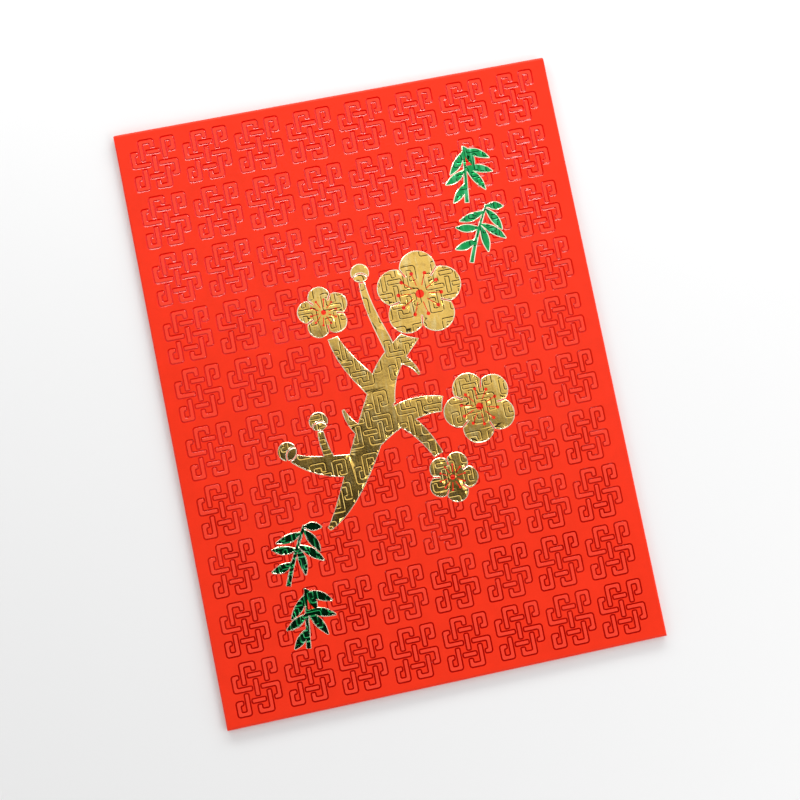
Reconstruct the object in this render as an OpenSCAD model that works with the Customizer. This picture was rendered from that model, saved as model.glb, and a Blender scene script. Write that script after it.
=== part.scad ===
/* [Packet] */
// Width of the closed packet, from side fold to side fold
packet_w = 85; // [75:1:120]
// Height of the closed packet, from bottom fold to flap crease
packet_h = 115; // [105:1:180]

/* [Paper] */
// Thickness of the coated paper
paper_t = 0.25; // [0.2:0.01:0.35]
// Thickness of a glue line
glue_t = 0.05; // [0.03:0.01:0.08]
// Clear space inside the flat pocket, between the seam flap and the front panel
pocket_clear = 0.15; // [0.1:0.05:0.6]
// Clearance between a cut edge and the fold or crease beside it
edge_clear = 0.3; // [0.2:0.05:0.6]

/* [Closing flap] */
// Depth of the closing flap, from its crease to its free edge
flap_depth = 25; // [16:1:40]
// Distance that each side of the closing flap is drawn in by its free edge
flap_draw = 5; // [2:0.5:12]
// Radius of the closing flap's two free corners
flap_corner_r = 6; // [2:0.5:10]

/* [Back of the packet] */
// Drop from the flap crease to the straight edge of the pocket's mouth
mouth_drop = 2; // [1:0.5:5]
// Width of the thumb cut in the mouth
thumb_w = 24; // [14:1:36]
// Depth of the thumb cut in the mouth
thumb_d = 5; // [2:0.5:8]
// Radius of the mouth's free corner, over the seam flap
mouth_corner_r = 2; // [1:0.5:4]
// Distance from the right side fold to the back panel's cut edge
back_inset = 0.6; // [0.3:0.1:1.5]

/* [Seam flap] */
// Width of the seam flap
seam_w = 12; // [8:1:18]
// Distance that each end of the seam flap is drawn in by its free edge
seam_draw = 4; // [1:0.5:8]
// Width of the glue line on the seam flap
seam_glue_w = 6; // [3:0.5:7]
// Bare length left at each end of the seam glue line
seam_glue_end = 7; // [5:0.5:12]

/* [Bottom flap] */
// Depth of the bottom flap
bottom_depth = 16; // [12:1:24]
// Distance that each side of the bottom flap is drawn in by its free edge
bottom_draw = 7; // [2:0.5:12]
// Radius of the bottom flap's two free corners
bottom_corner_r = 4; // [1:0.5:8]
// Width of the glue line on the bottom flap
bottom_glue_w = 5; // [3:0.5:8]
// Bare length left at each end of the bottom glue line
bottom_glue_end = 10; // [8:0.5:16]
// Bare strip between the bottom flap's free edge and its glue line
bottom_glue_edge = 3; // [2:0.5:4]

/* [Foil] */
// Thickness of the stamped foil
foil_t = 0.04; // [0.02:0.01:0.08]
// Width that the gold blossom branch is laid out in
gold_w = 46; // [36:1:56]
// Height that the gold blossom branch is laid out in
gold_h = 49; // [38:1:60]
// Radius of the largest gold blossom
blossom_r = 8.3; // [6:0.1:9]
// Radius of a closed bud on the branch
bud_r = 1.7; // [1.2:0.1:2.2]
// Bare line left between two areas of foil
foil_line = 0.35; // [0.25:0.05:0.5]
// Width that each green leaf sprig is laid out in
sprig_w = 10.5; // [8:0.5:13]
// Height that each green leaf sprig is laid out in
sprig_h = 11; // [8:0.5:12]
// Clear space between the largest blossom and the two upper sprigs beside it
upper_sprig_clear = 0.3; // [0.2:0.1:4]
// Clear space between the branch's foot and the two lower sprigs beside it
lower_sprig_clear = 1.7; // [0.2:0.1:4]
// Clear space between one sprig and the next below it
sprig_step_clear = 0.9; // [0.4:0.1:3]
// Width of a green leaf at its middle
leaf_w = 1.5; // [1:0.1:2]
// Width of a green stem
stem_w = 0.55; // [0.4:0.05:0.8]

/* [Hidden] */

$fn = 48;

// Overrun of a shape that cuts another
overrun = 1;
// Steps along one brush stroke, and round one rounded corner
stroke_steps = 14;
corner_steps = 10;

// Heights of the layers, from the surface that the packet lies on
back_z = paper_t + glue_t;
seam_z = back_z + paper_t + glue_t;
front_z = seam_z + paper_t + pocket_clear;
face_z = front_z + paper_t;

// Outer radius of each fold, which is half the height that it spans
left_r = (face_z - back_z) / 2;
right_r = (face_z - seam_z) / 2;
end_r = face_z / 2;

// Lines where the flat panels end and the folds begin
left_x = -packet_w / 2 + left_r;
right_x = packet_w / 2 - right_r;
bottom_y = -packet_h / 2 + end_r;
top_y = packet_h / 2 - end_r;
mouth_y = top_y - mouth_drop;

// Red of the paper, and the colours of the foils and the dried glue
paper_colour = [0.93, 0.12, 0.07];
paper_back_colour = [0.86, 0.10, 0.06];
fold_colour = [0.80, 0.08, 0.05];
glue_colour = [0.93, 0.90, 0.80];
gold_colour = [0.83, 0.66, 0.30];
green_colour = [0.05, 0.50, 0.32];

// Middle of the face's flat, which the foil is centred on
face_x = (left_x + right_x) / 2;

function unit_to(a, b) = (b - a) / norm(b - a);

// Points of a round corner of radius r at p, between the corners before and after it
function round_corner(before, p, after, r) =
    let (
        u = unit_to(p, before),
        v = unit_to(p, after),
        half = acos(u * v) / 2,
        centre = p + (u + v) / norm(u + v) * r / sin(half),
        from = p + u * r / tan(half) - centre,
        turn = cross(u, v) > 0 ? half * 2 - 180 : 180 - half * 2
    )
    [for (i = [0 : corner_steps])
        let (a = turn * i / corner_steps)
        centre + [from.x * cos(a) - from.y * sin(a), from.x * sin(a) + from.y * cos(a)]];

// Outline of a flap: a straight root from x0 to x1 on the line y, a depth towards +Y or
// -Y, sides drawn in by the free edge, and two round free corners
function flap_outline(x0, x1, y, depth, draw, r) =
    let (
        a = [x0, y],
        b = [x0 + draw, y + depth],
        c = [x1 - draw, y + depth],
        d = [x1, y]
    )
    concat([a], round_corner(a, b, c, r), round_corner(b, c, d, r), [d]);

// Half ring of paper with its round side towards -X
module half_ring(outer_r) {
    intersection() {
        difference() {
            circle(r = outer_r);
            circle(r = outer_r - paper_t);
        }
        translate([-outer_r - overrun, -outer_r - overrun])
            square([outer_r + overrun, 2 * (outer_r + overrun)]);
    }
}

// Fold along the packet's side, from y0 to y1, with its round side towards -X
module side_fold_strip(outer_r, y0, y1) {
    translate([0, y1, 0])
        rotate([90, 0, 0])
            linear_extrude(height = y1 - y0)
                half_ring(outer_r);
}

// Fold along the packet's end, from x0 to x1, with its round side towards -Y
module end_fold_strip(outer_r, x0, x1) {
    translate([x0, 0, 0])
        rotate([90, 0, 90])
            linear_extrude(height = x1 - x0)
                half_ring(outer_r);
}

module front_panel() {
    color(paper_colour)
        translate([left_x, bottom_y, front_z])
            cube([right_x - left_x, top_y - bottom_y, paper_t]);
}

module left_side_fold() {
    color(fold_colour)
        translate([left_x, 0, face_z - left_r])
            side_fold_strip(left_r, bottom_y + edge_clear, mouth_y);
}

module right_side_fold() {
    color(fold_colour)
        translate([right_x, 0, face_z - right_r])
            mirror([1, 0, 0])
                side_fold_strip(right_r, seam_y0, seam_y1);
}

module bottom_fold() {
    color(fold_colour)
        translate([0, bottom_y, end_r])
            end_fold_strip(end_r, left_x + edge_clear, right_x - edge_clear);
}

module flap_crease() {
    color(fold_colour)
        translate([0, top_y, end_r])
            mirror([0, 1, 0])
                end_fold_strip(end_r, left_x + edge_clear, right_x - edge_clear);
}

// Back panel, with the thumb cut as an arc through both ends of the cut and its depth
module back_panel() {
    thumb_r = (thumb_w * thumb_w / 4 + thumb_d * thumb_d) / (2 * thumb_d);
    edge_x = packet_w / 2 - back_inset;
    low_y = bottom_y + edge_clear;
    outline = concat(
        [[left_x, low_y], [edge_x, low_y]],
        round_corner([edge_x, low_y], [edge_x, mouth_y], [left_x, mouth_y], mouth_corner_r),
        [[left_x, mouth_y]]
    );
    color(paper_back_colour)
        translate([0, 0, back_z])
            linear_extrude(height = paper_t)
                difference() {
                    polygon(outline);
                    translate([face_x, mouth_y - thumb_d + thumb_r])
                        circle(r = thumb_r, $fn = 96);
                }
}

// Ends of the seam flap, clear of the bottom fold and of the mouth
seam_y0 = bottom_y + 2 * edge_clear;
seam_y1 = mouth_y - edge_clear;

module seam_flap() {
    color(paper_back_colour)
        translate([0, 0, seam_z])
            linear_extrude(height = paper_t)
                polygon([
                    [right_x, seam_y0],
                    [right_x, seam_y1],
                    [right_x - seam_w, seam_y1 - seam_draw],
                    [right_x - seam_w, seam_y0 + seam_draw]
                ]);
}

module seam_glue() {
    color(glue_colour)
        translate([right_x - (seam_w + seam_glue_w) / 2, seam_y0 + seam_glue_end, seam_z - glue_t])
            cube([seam_glue_w, seam_y1 - seam_y0 - 2 * seam_glue_end, glue_t]);
}

module bottom_flap() {
    color(paper_back_colour)
        linear_extrude(height = paper_t)
            polygon(flap_outline(left_x + edge_clear, right_x - edge_clear, bottom_y,
                bottom_depth, bottom_draw, bottom_corner_r));
}

module bottom_glue() {
    glue_y = bottom_y + bottom_depth - bottom_glue_edge - bottom_glue_w;
    color(glue_colour)
        translate([left_x + bottom_glue_end, glue_y, paper_t])
            cube([right_x - left_x - 2 * bottom_glue_end, bottom_glue_w, glue_t]);
}

module closing_flap() {
    color(paper_back_colour)
        linear_extrude(height = paper_t)
            polygon(flap_outline(left_x + edge_clear, right_x - edge_clear, top_y,
                -flap_depth, flap_draw, flap_corner_r));
}

// Point at share t of a cubic curve through the first and last of four points
function on_curve(p, t) =
    pow(1 - t, 3) * p[0] + 3 * pow(1 - t, 2) * t * p[1]
    + 3 * (1 - t) * t * t * p[2] + pow(t, 3) * p[3];

// Direction of the curve at share t, turned a quarter to the left
function left_of_curve(p, t) =
    let (
        d = pow(1 - t, 2) * (p[1] - p[0]) + 2 * (1 - t) * t * (p[2] - p[1])
            + t * t * (p[3] - p[2])
    )
    [-d.y, d.x] / norm(d);

// Outline of a brush stroke along a curve, w0 wide at its start and w1 at its end, with
// a swelling between them
function brush_outline(p, w0, w1, swell) =
    let (
        half = [for (i = [0 : stroke_steps])
            let (t = i / stroke_steps)
            (w0 + (w1 - w0) * t + swell * sin(180 * t)) / 2]
    )
    concat(
        [for (i = [0 : stroke_steps])
            on_curve(p, i / stroke_steps) + left_of_curve(p, i / stroke_steps) * half[i]],
        [for (i = [stroke_steps : -1 : 0])
            on_curve(p, i / stroke_steps) - left_of_curve(p, i / stroke_steps) * half[i]]
    );

// Brush strokes of the gold branch. Each has four points of its curve, in shares of the
// layout's width and height from its centre, and its start width, end width and
// swelling, in shares of the layout's width.
branch_shares = [
    [[[-0.36, -0.50], [-0.25, -0.42], [-0.14, -0.20], [-0.04, -0.03]], [0.014, 0.115, 0.035]],
    [[[-0.05, -0.06], [-0.02, 0.08], [0.06, 0.12], [0.16, 0.20]], [0.115, 0.060, 0.000]],
    [[[-0.05, -0.02], [-0.11, 0.06], [-0.18, 0.14], [-0.20, 0.25]], [0.078, 0.034, 0.008]],
    [[[-0.12, -0.19], [0.02, -0.10], [0.12, -0.09], [0.24, -0.12]], [0.095, 0.052, 0.012]],
    [[[0.01, -0.13], [0.08, -0.18], [0.12, -0.25], [0.15, -0.32]], [0.068, 0.036, 0.000]],
    [[[-0.19, -0.28], [-0.28, -0.27], [-0.37, -0.26], [-0.46, -0.20]], [0.088, 0.030, 0.018]],
    [[[-0.29, -0.27], [-0.31, -0.22], [-0.32, -0.17], [-0.32, -0.12]], [0.040, 0.022, 0.000]],
    [[[0.04, 0.10], [0.02, 0.20], [-0.03, 0.30], [-0.03, 0.42]], [0.046, 0.022, 0.004]],
    [[[0.02, 0.11], [0.07, 0.10], [0.11, 0.07], [0.13, 0.02]], [0.054, 0.008, 0.000]],
    [[[-0.12, -0.18], [-0.17, -0.15], [-0.20, -0.11], [-0.21, -0.06]], [0.054, 0.008, 0.000]]
];

// Open blossoms: the centre, in shares of the layout's width and height, the radius, in
// shares of the largest one's, and the turn of the first petal
blossom_shares = [
    [0.20, 0.33, 1.00, 12],
    [0.35, -0.15, 0.84, 40],
    [0.18, -0.40, 0.58, -10],
    [-0.21, 0.33, 0.60, 25]
];

// Closed buds: the centre, in shares of the layout's width and height, and the way that
// the bud points
bud_shares = [[-0.470, -0.175, 140], [-0.32, -0.085, 92], [-0.03, 0.455, 84]];

// Share of a bud's radius that its cup takes
bud_cup_share = 0.95;

// Shares of a blossom's radius that its petals, stamens and middle take
petal_r_share = 0.42;
petal_out_share = 0.58;
stamen_in_share = 0.20;
stamen_out_share = 0.50;
stamen_head_share = 0.045;
middle_share = 0.10;
petals = 5;
stamens = 10;

function in_layout(share, w, h) = [share.x * w, share.y * h];

function blossom_at(b) = in_layout(b, gold_w, gold_h);

module gold_place() {
    translate([face_x, 0, face_z])
        linear_extrude(height = foil_t)
            children();
}

// Five-petalled blossom of radius r, with stamens left bare
module blossom(r) {
    head_r = max(r * stamen_head_share, foil_line / 2);
    difference() {
        union() {
            for (i = [0 : petals - 1])
                rotate(i * 360 / petals)
                    translate([r * petal_out_share, 0])
                        circle(r = r * petal_r_share);
            circle(r = r * petal_out_share);
        }
        for (i = [0 : petals - 1])
            rotate((i + 0.5) * 360 / petals)
                translate([r * stamen_out_share, -foil_line / 2])
                    square([r, foil_line]);
        for (i = [0 : stamens - 1])
            rotate((i + 0.5) * 360 / stamens) {
                translate([r * stamen_in_share, -foil_line / 4])
                    square([r * (stamen_out_share - stamen_in_share), foil_line / 2]);
                translate([r * stamen_out_share, 0])
                    circle(r = head_r);
            }
        circle(r = r * middle_share);
    }
}

// Closed bud of radius r that points along +X, with a bare line round its cup
module bud(r) {
    difference() {
        circle(r = r);
        translate([-r, 0])
            difference() {
                circle(r = r * bud_cup_share + foil_line / 2);
                circle(r = r * bud_cup_share - foil_line / 2);
            }
    }
}

module gold_branch() {
    color(gold_colour)
        gold_place()
            difference() {
                union() {
                    for (s = branch_shares)
                        polygon(brush_outline([for (p = s[0]) in_layout(p, gold_w, gold_h)],
                            s[1][0] * gold_w, s[1][1] * gold_w, s[1][2] * gold_w));
                }
                for (b = blossom_shares)
                    translate(blossom_at(b))
                        circle(r = blossom_r * b[2] + foil_line);
                for (b = bud_shares)
                    translate(blossom_at(b))
                        circle(r = bud_r + foil_line);
            }
}

module gold_blossoms() {
    color(gold_colour)
        gold_place() {
            for (b = blossom_shares)
                translate(blossom_at(b))
                    rotate(b[3])
                        blossom(blossom_r * b[2]);
            for (b = bud_shares)
                translate(blossom_at(b))
                    rotate(b[2])
                        bud(bud_r);
        }
}

// Shares of a leaf's length where the four points of its middle vein lie, how far the
// vein bows aside, in shares of the length, and the width of its two ends, in shares of
// the leaf's width
vein_shares = [0, 0.35, 0.7, 1];
vein_bow_shares = [0, 0.05, 0.04, 0];
leaf_end_share = 0.1;

// Leaves of the two kinds of sprig: the share of the stem's length that each springs
// from, its direction, and its length in shares of the layout's width
upright_leaf_shares = [
    [1.00, -72, 0.42], [0.95, -28, 0.50], [0.93, -130, 0.52], [0.66, -18, 0.52],
    [0.66, -58, 0.56], [0.62, -152, 0.46], [0.38, -132, 0.44]
];
leaning_leaf_shares = [
    [0.98, -12, 0.32], [0.94, -62, 0.50], [0.90, -168, 0.50], [0.68, -40, 0.54],
    [0.66, -84, 0.52], [0.62, 170, 0.44], [0.40, -166, 0.42]
];

// Widths of a stem at its foot and at its tip, in shares of its named width
stem_foot_share = 1.4;
stem_tip_share = 0.7;

// Stems of the two kinds of sprig, as curves in shares of the layout
upright_stem_share = [[-0.12, -0.50], [-0.08, -0.20], [-0.02, 0.10], [0.02, 0.50]];
leaning_stem_share = [[-0.26, -0.48], [-0.14, -0.16], [0.02, 0.14], [0.22, 0.48]];

// Leaf of length l that springs from p in the direction a, pointed at both ends
module leaf(p, a, l) {
    way = [cos(a), sin(a)];
    aside = [-sin(a), cos(a)];
    vein = [for (i = [0 : 3]) p + l * (vein_shares[i] * way + vein_bow_shares[i] * aside)];
    end_w = leaf_w * leaf_end_share;
    polygon(brush_outline(vein, end_w, end_w, leaf_w - end_w));
}

module sprig(leaves, stem) {
    curve = [for (p = stem) in_layout(p, sprig_w, sprig_h)];
    linear_extrude(height = foil_t)
        union() {
            polygon(brush_outline(curve, stem_w * stem_foot_share, stem_w * stem_tip_share, 0));
            for (s = leaves)
                leaf(on_curve(curve, s[0]), s[1], s[2] * sprig_w);
        }
}

// Heights of the upper one of each pair of sprigs above the middle of the face, in
// shares of the packet's height
upper_pair_share = 0.325;
lower_pair_share = -0.245;

// Columns that the two pairs of sprigs stand in, beside the gold branch
upper_sprig_x = blossom_at(blossom_shares[0]).x + blossom_r + upper_sprig_clear + sprig_w / 2;
lower_sprig_x = blossom_at(branch_shares[0][0][0]).x - lower_sprig_clear - sprig_w / 2;

// Places a sprig in its column: step 0 is the upper one of the pair, and 1 the lower
module place_sprig(x, pair_share, step) {
    y = pair_share * packet_h - step * (sprig_h + sprig_step_clear);
    color(green_colour)
        translate([face_x + x, y, face_z])
            children();
}

module green_sprig_top_1() {
    place_sprig(upper_sprig_x, upper_pair_share, 0)
        sprig(upright_leaf_shares, upright_stem_share);
}

module green_sprig_top_2() {
    place_sprig(upper_sprig_x, upper_pair_share, 1)
        sprig(leaning_leaf_shares, leaning_stem_share);
}

module green_sprig_low_1() {
    place_sprig(lower_sprig_x, lower_pair_share, 0)
        sprig(leaning_leaf_shares, leaning_stem_share);
}

module green_sprig_low_2() {
    place_sprig(lower_sprig_x, lower_pair_share, 1)
        sprig(upright_leaf_shares, upright_stem_share);
}

front_panel();
left_side_fold();
right_side_fold();
bottom_fold();
flap_crease();
back_panel();
seam_flap();
seam_glue();
bottom_flap();
bottom_glue();
closing_flap();
gold_branch();
gold_blossoms();
green_sprig_top_1();
green_sprig_top_2();
green_sprig_low_1();
green_sprig_low_2();
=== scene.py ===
"""Red paper packet: a pressed face with gold and green foil, on the frame of its solid model."""

import math

import bmesh
import bpy
from bpy.props import FloatProperty, FloatVectorProperty, IntProperty, PointerProperty
from mathutils import Matrix, Vector


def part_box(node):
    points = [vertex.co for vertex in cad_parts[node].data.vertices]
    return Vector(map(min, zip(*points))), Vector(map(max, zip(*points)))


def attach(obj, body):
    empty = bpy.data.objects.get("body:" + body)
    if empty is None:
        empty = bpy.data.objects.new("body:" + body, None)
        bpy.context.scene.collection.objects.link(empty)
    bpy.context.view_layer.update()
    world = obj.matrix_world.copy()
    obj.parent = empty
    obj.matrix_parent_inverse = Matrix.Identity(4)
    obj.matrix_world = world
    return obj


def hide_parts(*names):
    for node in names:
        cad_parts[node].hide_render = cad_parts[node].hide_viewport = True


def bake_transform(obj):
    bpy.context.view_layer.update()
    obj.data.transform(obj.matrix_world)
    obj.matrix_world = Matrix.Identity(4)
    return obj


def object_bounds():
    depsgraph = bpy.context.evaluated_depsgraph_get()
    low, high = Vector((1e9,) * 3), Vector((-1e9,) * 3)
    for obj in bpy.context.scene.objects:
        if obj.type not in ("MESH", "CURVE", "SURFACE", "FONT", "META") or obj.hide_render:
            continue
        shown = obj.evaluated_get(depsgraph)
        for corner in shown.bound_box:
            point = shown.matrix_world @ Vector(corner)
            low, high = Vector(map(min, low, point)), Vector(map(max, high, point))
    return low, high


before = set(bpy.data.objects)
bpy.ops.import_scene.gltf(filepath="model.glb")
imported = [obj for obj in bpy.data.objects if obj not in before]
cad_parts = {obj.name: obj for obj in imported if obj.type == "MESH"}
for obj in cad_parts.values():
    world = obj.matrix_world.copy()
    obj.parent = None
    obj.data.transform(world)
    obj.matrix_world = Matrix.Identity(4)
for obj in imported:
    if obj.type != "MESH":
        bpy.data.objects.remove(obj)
CAD_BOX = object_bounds()

bl_info = {
    "name": "Red Paper Packet",
    "version": (1, 0, 0),
    "blender": (4, 5, 0),
    "location": "View3D > Sidebar > Red Packet",
    "description": "Models a red paper packet with a pressed face and foil sprigs",
    "category": "Add Mesh",
}

# Pieces are modelled in millimetres and brought down to metres when they are finished
MM = 0.001
# Points this close are the same
SAME = 1e-4
# Segments of the pattern's round corners, and sides of the tube that folds are cut from
BEND_SEGMENTS, CROOK_SEGMENTS, END_SEGMENTS = 4, 2, 3
FOLD_SIDES = 64
# Angles, in degrees, up to which faces are shaded as one surface
FACE_SMOOTH, FOIL_SMOOTH, FOLD_SMOOTH = 20, 35, 40
# How far a cut edge stays inside the outline of the folds
EDGE_SHY = 0.06
# How far patches and cutters run past a foil's outline, and how deep its root lies
OVERRUN = 0.5
FOIL_ROOT = 0.06
# Least height of the normal of a face that lies level, and of one that looks up at all
LEVEL, UPWARD = 0.9, 0.1


def box_corners(box):
    """Lower and upper corner of a box, in millimetres"""
    return [corner / MM for corner in box]


# What the solid model gives: the face's flat, the folds round the packet and its layers
FACE_LOW, FACE_HIGH = box_corners(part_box("front_panel"))
LEFT_FOLD = box_corners(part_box("left_side_fold"))
RIGHT_FOLD = box_corners(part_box("right_side_fold"))
BOTTOM_FOLD = box_corners(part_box("bottom_fold"))
CREASE = box_corners(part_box("flap_crease"))
FLAP = box_corners(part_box("closing_flap"))
PACKET = box_corners(CAD_BOX)
GLUE_LOW, GLUE_HIGH = box_corners(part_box("seam_glue"))
PAPER = FACE_HIGH.z - FACE_LOW.z
GLUE = GLUE_HIGH.z - GLUE_LOW.z


class PressedPattern(bpy.types.PropertyGroup):
    """Sizes of the endless knots pressed into the face"""

    columns: IntProperty(name="Columns", description="Knots across the face", default=8, min=1)
    rows: IntProperty(name="Rows", description="Knots up the face", default=10, min=1)
    pitch_x: FloatProperty(
        name="Pitch across", description="From one knot to the next across the face",
        default=0.0101, unit="LENGTH", precision=5)
    pitch_y: FloatProperty(
        name="Pitch up", description="From one knot to the next up the face",
        default=0.01124, unit="LENGTH", precision=5)
    shift_x: FloatProperty(
        name="Shift across", description="How far the pattern sits off the face's middle",
        default=-0.0003, unit="LENGTH", precision=5)
    knot_w: FloatProperty(
        name="Knot width", description="Width of one knot", default=0.0087,
        unit="LENGTH", precision=5)
    knot_h: FloatProperty(
        name="Knot height", description="Height of one knot", default=0.0098,
        unit="LENGTH", precision=5)
    bar_w: FloatProperty(
        name="Bar width", description="Width of the knot's cord", default=0.0008,
        unit="LENGTH", precision=5)
    lace_x: FloatProperty(
        name="Lacing across", description="From the knot's middle to its next upright cord",
        default=0.00215, unit="LENGTH", precision=5)
    lace_y: FloatProperty(
        name="Lacing up", description="From the knot's middle to its next level cord",
        default=0.0024, unit="LENGTH", precision=5)
    under_gap: FloatProperty(
        name="Gap at a crossing", description="Flat left between the grooves of crossing cords",
        default=0.00005, unit="LENGTH", precision=5)
    groove_out: FloatProperty(
        name="Groove's outer side", description="Width of the slope outside the groove's bottom",
        default=0.00019, unit="LENGTH", precision=5)
    groove_in: FloatProperty(
        name="Groove's inner side", description="Width of the slope inside the groove's bottom",
        default=0.00015, unit="LENGTH", precision=5)
    groove_deep: FloatProperty(
        name="Groove depth", description="Depth of the line round each bar",
        default=0.00009, unit="LENGTH", precision=6)
    bar_rise: FloatProperty(
        name="Bar rise", description="How far a bar stands above the face",
        default=0.00002, unit="LENGTH", precision=6)
    bend_r: FloatProperty(
        name="Bend radius", description="Round outside of a bend in the cord",
        default=0.00065, unit="LENGTH", precision=5)
    end_r: FloatProperty(
        name="End radius", description="Round corners where a cord goes under",
        default=0.0004, unit="LENGTH", precision=5)
    crook_r: FloatProperty(
        name="Crook radius", description="Round inside of a bend in the cord",
        default=0.0001, unit="LENGTH", precision=5)


class PaperLooks(bpy.types.PropertyGroup):
    """Colours of the paper and its glue, and the painted shade and sheen of its pressed pattern
    """

    face: FloatVectorProperty(
        name="Face", description="Coated side of the paper", subtype="COLOR",
        default=(0.94, 0.041, 0.0148), min=0, max=1)
    back: FloatVectorProperty(
        name="Back", description="Bare side of the paper", subtype="COLOR",
        default=(0.78, 0.030, 0.012), min=0, max=1)
    core: FloatVectorProperty(
        name="Core", description="Fibres of the paper that its cut edges and cracks show",
        subtype="COLOR", default=(0.86, 0.17, 0.11), min=0, max=1)
    glue: FloatVectorProperty(
        name="Glue", description="Dried glue along the seams", subtype="COLOR",
        default=(0.85, 0.79, 0.60), min=0, max=1)
    # Painted shade in the pressed lines: the darker red lower on the face, the lighter red higher
    # up
    line: FloatVectorProperty(
        name="Hard line", description="Burnished red of the lines that are pressed hard",
        subtype="COLOR", default=(0.38, 0.0002, 0.0002), min=0, max=1)
    light_line_shade: FloatVectorProperty(
        name="Light line", description="Red of the lines that are pressed lightly",
        subtype="COLOR", default=(0.78, 0.0003, 0.0002), min=0, max=1)
    # Painted sheen: the raised cords are a paler, pinker red than the face
    cord: FloatVectorProperty(
        name="Raised cord", description="Paler red of the cords that stand above the face",
        subtype="COLOR", default=(0.92, 0.060, 0.030), min=0, max=1)
    line_depth: FloatProperty(
        name="Line depth", description="Depth below the face at which a pressed line is darkest",
        default=0.00008, unit="LENGTH", precision=6)


class FoilLooks(bpy.types.PropertyGroup):
    """Colours and lift of the stamped foil, with its painted shade and painted highlights"""

    gold: FloatVectorProperty(
        name="Gold", description="Gold foil", subtype="COLOR",
        default=(0.90, 0.575, 0.13), min=0, max=1)
    # Painted highlight along the gold foil's rim
    gold_rim_highlight: FloatVectorProperty(
        name="Gold rim", description="Polished rim of the gold foil", subtype="COLOR",
        default=(1.0, 0.90, 0.62), min=0, max=1)
    # Worn colour, which also paints the shade in the pattern's lines under the gold foil
    gold_wear_and_line_shade: FloatVectorProperty(
        name="Gold in lines", description="Gold foil where it is worn or pressed",
        subtype="COLOR", default=(0.46, 0.24, 0.045), min=0, max=1)
    # Painted highlight streaks on the gold foil
    gold_glint: FloatVectorProperty(
        name="Thin gold", description="Gold foil where its lacquer is thin", subtype="COLOR",
        default=(1.0, 0.84, 0.40), min=0, max=1)
    green: FloatVectorProperty(
        name="Green", description="Green foil", subtype="COLOR",
        default=(0.008, 0.34, 0.085), min=0, max=1)
    # Painted highlight along the green foil's rim
    green_rim_highlight: FloatVectorProperty(
        name="Green rim", description="Polished rim of the green foil", subtype="COLOR",
        default=(1.0, 0.98, 0.72), min=0, max=1)
    # Worn colour, which also paints the shade in the pattern's lines under the green foil
    green_wear_and_line_shade: FloatVectorProperty(
        name="Green in lines", description="Green foil where it is worn or pressed",
        subtype="COLOR", default=(0.005, 0.13, 0.035), min=0, max=1)
    # Painted highlight streaks on the green foil
    green_glint: FloatVectorProperty(
        name="Thin green", description="Green foil where its lacquer is thin", subtype="COLOR",
        default=(0.16, 0.85, 0.42), min=0, max=1)
    line_depth: FloatProperty(
        name="Line depth", description="Depth below the face at which a pressed line is darkest",
        default=0.00008, unit="LENGTH", precision=6)
    bridging: FloatProperty(
        name="Bridging", description="Share of the pattern's depth that shows through the foil",
        default=0.5, min=0, max=1)
    rim_w: FloatProperty(
        name="Rim", description="Width of the raised rim along the foil's edge", default=0.00020,
        unit="LENGTH", precision=6)


class StudioSettings(bpy.types.PropertyGroup):
    """Floor, lamps and camera"""

    floor: FloatVectorProperty(
        name="Floor", description="Colour of the floor", subtype="COLOR",
        default=(0.88, 0.88, 0.88), min=0, max=1)
    softbox: FloatProperty(
        name="Softbox", description="Power of the softbox beyond the packet's top edge",
        default=1.25, unit="POWER")
    edge_lamp: FloatProperty(
        name="Edge lamp", description="Power of the narrow lamp at the lower right",
        default=0.28, unit="POWER")
    sky_dark: FloatProperty(
        name="Dark sky", description="Strength of the sky overhead at the lower left",
        default=0.02)
    sky_bright: FloatProperty(
        name="Bright sky", description="Strength of the sky overhead at the upper right",
        default=1.0)
    horizon: FloatProperty(
        name="Horizon", description="Strength of the sky near the floor", default=1.1)


# Helpers for modelling by hand


def deselect_all():
    if bpy.context.object and bpy.context.object.mode != "OBJECT":
        set_mode("OBJECT")
    bpy.ops.object.select_all(action="DESELECT")


def make_active(piece):
    deselect_all()
    piece.select_set(True)
    bpy.context.view_layer.objects.active = piece
    return piece


def name_piece(name):
    piece = bpy.context.object
    piece.name = piece.data.name = name
    return piece


def add_object(name, data):
    piece = bpy.data.objects.new(name, data)
    bpy.context.scene.collection.objects.link(piece)
    return piece


def apply_transform(location=False, rotation=False, scale=False):
    bpy.ops.object.transform_apply(location=location, rotation=rotation, scale=scale)


def middle(part):
    return sum((v.co for v in part.verts), Vector()) / len(part.verts)


def set_mode(mode):
    bpy.ops.object.mode_set(mode=mode)


def select_whole():
    """In edit mode, selects all of the piece"""
    bpy.ops.mesh.select_all(action="SELECT")


def face_outward():
    """In edit mode, turns the faces of the piece outward"""
    select_whole()
    bpy.ops.mesh.normals_make_consistent(inside=False)


def weld(distance=SAME):
    """In edit mode, joins the points of the piece that lie that close"""
    select_whole()
    bpy.ops.mesh.remove_doubles(threshold=distance)


def pull_out(way):
    """In edit mode, extrudes the selected edges"""
    bpy.ops.mesh.extrude_edges_move(TRANSFORM_OT_translate={"value": way})


def on_rim(e):
    return len(e.link_faces) == 1


def pick(kind, test):
    """In edit mode, selects the points, edges or faces that pass the test"""
    bpy.ops.mesh.select_mode(type=kind)
    bpy.ops.mesh.select_all(action="DESELECT")
    mesh = bpy.context.object.data
    shape = bmesh.from_edit_mesh(mesh)
    parts = {"VERT": shape.verts, "EDGE": shape.edges, "FACE": shape.faces}[kind]
    found = [part for part in parts if test(part)]
    if not found:
        raise RuntimeError(f"{bpy.context.object.name}: no {kind.lower()} was found to work on")
    for part in found:
        part.select_set(True)
    bmesh.update_edit_mesh(mesh)


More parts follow.
